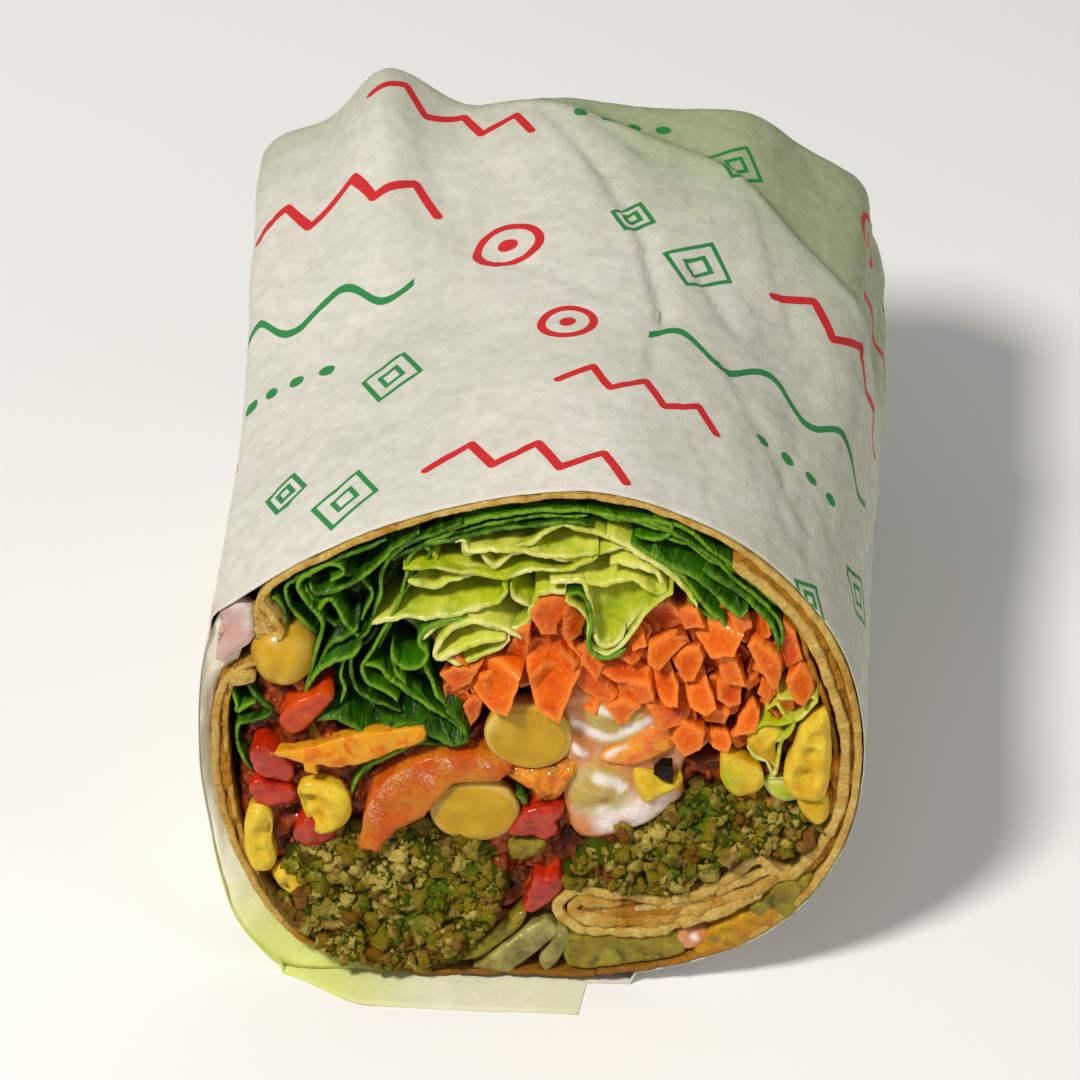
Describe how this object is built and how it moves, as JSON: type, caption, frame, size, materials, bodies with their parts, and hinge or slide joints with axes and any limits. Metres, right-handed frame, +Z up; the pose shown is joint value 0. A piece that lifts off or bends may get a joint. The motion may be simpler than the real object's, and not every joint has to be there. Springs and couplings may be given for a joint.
{
  "type": "falafel wrap",
  "caption": "Cut half of a falafel and salad wrap lying in printed greaseproof paper, its filled cut face open to the front and its far end folded shut.",
  "frame": {"origin": "centre of the bounding box at its base, on the surface that the wrap lies on", "axes": "+Z up, +Y along the wrap from its cut face to its folded end, +X to the right seen from the cut face"},
  "size_m": [0.0868, 0.1134, 0.073],
  "materials": {
    "paper": "matte",
    "tortilla": "matte",
    "leaf": "satin",
    "lettuce": "satin",
    "carrot": "satin",
    "falafel": "matte",
    "salsa": "gloss",
    "sauce": "gloss",
    "chickpea": "satin",
    "corn": "gloss",
    "pepper": "gloss",
    "pickle": "gloss",
    "onion": "gloss"
  },
  "bodies": {
    "root": {"paper_wrap": "paper", "tortilla": "tortilla", "leaves_top": "leaf", "leaves_left": "leaf", "leaf_side": "leaf", "lettuce_pale": "lettuce", "lettuce_right": "lettuce", "carrot_heap": "carrot", "carrot_slab": "carrot", "carrot_strip": "carrot", "falafel_left": "falafel", "falafel_right": "falafel", "salsa": "salsa", "sauce": "sauce", "chickpea_upper": "chickpea", "chickpea_lower": "chickpea", "chickpea_whole": "chickpea", "chickpea_back": "chickpea", "chickpea_sauced": "chickpea", "corn_1": "corn", "corn_2": "corn", "corn_3": "corn", "corn_4": "corn", "corn_5": "corn", "corn_6": "corn", "corn_7": "corn", "pepper_red_1": "pepper", "pepper_red_2": "pepper", "pepper_red_3": "pepper", "pepper_red_4": "pepper", "pepper_red_5": "pepper", "pepper_orange": "pepper", "tomato_sauced": "pepper", "pepper_yellow": "corn", "pickle_bit": "pickle", "pickles": "pickle", "onion_1": "onion", "onion_2": "onion"}
  },
  "joints": []
}
